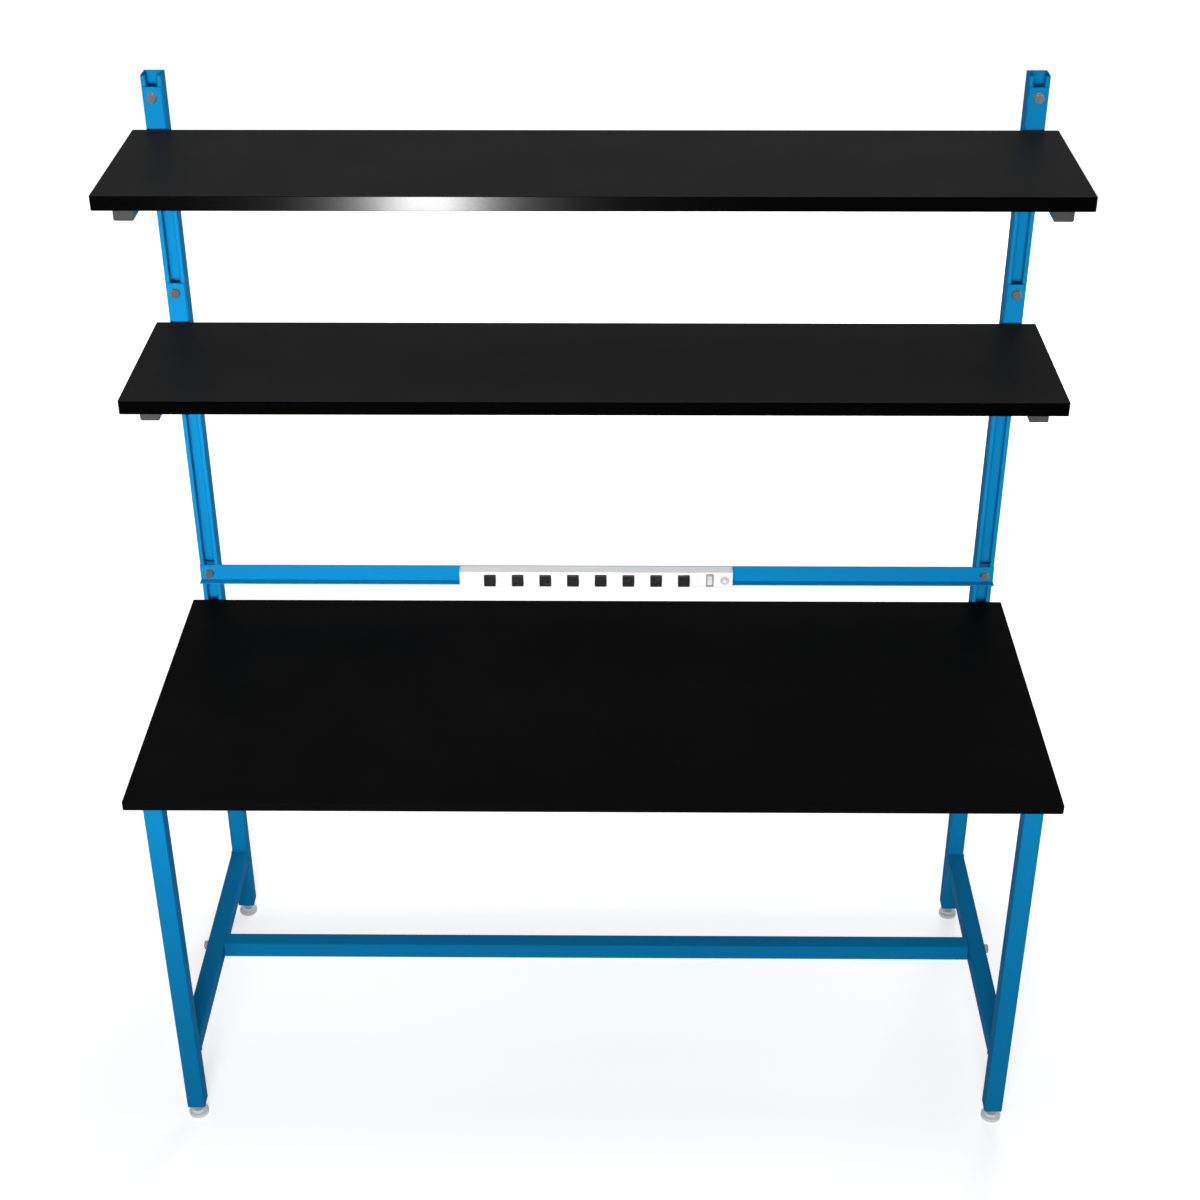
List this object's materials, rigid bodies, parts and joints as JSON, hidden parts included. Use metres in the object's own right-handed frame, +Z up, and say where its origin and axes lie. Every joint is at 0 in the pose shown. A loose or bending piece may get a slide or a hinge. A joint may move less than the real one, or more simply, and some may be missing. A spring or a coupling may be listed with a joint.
{
  "type": "lab bench with reagent shelves",
  "caption": "Free-standing lab bench: black worktop on a blue tube frame, channel uprights behind it with height-adjustable reagent shelves and a power strip on a rail.",
  "frame": {"origin": "on the floor, under the middle of the bench's outline", "axes": "+X along the bench to the right as seen from the front, +Y from the front to the back, +Z up"},
  "size_m": [1.8288, 0.8036, 2.094],
  "materials": {
    "frame_paint": "satin blue powder coat",
    "worktop_resin": "matte black phenolic resin",
    "shelf_laminate": "matte black laminate on a board core",
    "zinc": "dull zinc plate",
    "cap_plastic": "moulded dark grey plastic",
    "foot_nylon": "pale nylon",
    "strip_paint": "white enamel on sheet metal",
    "outlet_plastic": "moulded black plastic",
    "strip_plastic": "moulded white plastic"
  },
  "bodies": {
    "frame": {"worktop": "worktop_resin", "leg_front_left": "frame_paint", "leg_rear_left": "frame_paint", "side_stretcher_left": "frame_paint", "top_side_rail_left": "frame_paint", "upright_left": "frame_paint", "leg_front_right": "frame_paint", "leg_rear_right": "frame_paint", "side_stretcher_right": "frame_paint", "top_side_rail_right": "frame_paint", "upright_right": "frame_paint", "long_stretcher": "frame_paint", "top_front_rail": "frame_paint", "top_rear_rail": "frame_paint", "stretcher_bolt_left": "zinc", "stretcher_bolt_right": "zinc", "upright_bolt_left_1": "zinc", "upright_nut_left_1": "zinc", "upright_bolt_left_2": "zinc", "upright_nut_left_2": "zinc", "upright_bolt_right_1": "zinc", "upright_nut_right_1": "zinc", "upright_bolt_right_2": "zinc", "upright_nut_right_2": "zinc"},
    "upper_shelf_set": {"upper_shelf": "shelf_laminate", "bracket_upper_left": "frame_paint", "arm_cap_upper_left": "cap_plastic", "bracket_bolt_upper_left": "zinc", "bracket_nut_upper_left": "zinc", "bracket_upper_right": "frame_paint", "arm_cap_upper_right": "cap_plastic", "bracket_bolt_upper_right": "zinc", "bracket_nut_upper_right": "zinc"},
    "lower_shelf_set": {"lower_shelf": "shelf_laminate", "bracket_lower_left": "frame_paint", "arm_cap_lower_left": "cap_plastic", "bracket_bolt_lower_left": "zinc", "bracket_nut_lower_left": "zinc", "bracket_lower_right": "frame_paint", "arm_cap_lower_right": "cap_plastic", "bracket_bolt_lower_right": "zinc", "bracket_nut_lower_right": "zinc"},
    "power_rail": {"accessory_rail": "frame_paint", "rail_bolt_left": "zinc", "rail_nut_left": "zinc", "rail_bolt_right": "zinc", "rail_nut_right": "zinc", "strip_housing": "strip_paint", "outlet_bar": "outlet_plastic", "strip_inlet_cap": "strip_plastic", "strip_end_cap": "strip_plastic", "switch_frame": "strip_plastic", "reset_collar": "strip_plastic"},
    "rocker": {"switch_rocker": "strip_plastic"},
    "reset": {"reset_button": "strip_plastic"},
    "foot_front_left_body": {"foot_front_left": "foot_nylon"},
    "foot_front_right_body": {"foot_front_right": "foot_nylon"},
    "foot_rear_left_body": {"foot_rear_left": "foot_nylon"},
    "foot_rear_right_body": {"foot_rear_right": "foot_nylon"}
  },
  "joints": [
    {"name": "upper_shelf_height", "type": "slide", "parent": "frame", "child": "upper_shelf_set", "axis": [0, 0, 1], "range_m": [-0.1016, 0.0127]},
    {"name": "lower_shelf_height", "type": "slide", "parent": "frame", "child": "lower_shelf_set", "axis": [0, 0, 1], "range_m": [-0.3048, 0.1016]},
    {"name": "power_rail_height", "type": "slide", "parent": "frame", "child": "power_rail", "axis": [0, 0, 1], "range_m": [-0.05, 0.15]},
    {"name": "switch_rock", "type": "hinge", "parent": "power_rail", "child": "rocker", "pos_m": [0.2535, 0.3302, 0.97005], "axis": [1, 0, 0], "range_deg": [-14, 0]},
    {"name": "reset_press", "type": "slide", "parent": "power_rail", "child": "reset", "axis": [0, 1, 0], "range_m": [0, 0.002], "stiffness_N_per_m": 800, "springref_m": -0.004},
    {"name": "foot_front_left_level", "type": "slide", "parent": "frame", "child": "foot_front_left_body", "axis": [0, 0, 1], "range_m": [-0.02, 0.007]},
    {"name": "foot_front_right_level", "type": "slide", "parent": "frame", "child": "foot_front_right_body", "axis": [0, 0, 1], "range_m": [-0.02, 0.007]},
    {"name": "foot_rear_left_level", "type": "slide", "parent": "frame", "child": "foot_rear_left_body", "axis": [0, 0, 1], "range_m": [-0.02, 0.007]},
    {"name": "foot_rear_right_level", "type": "slide", "parent": "frame", "child": "foot_rear_right_body", "axis": [0, 0, 1], "range_m": [-0.02, 0.007]}
  ]
}
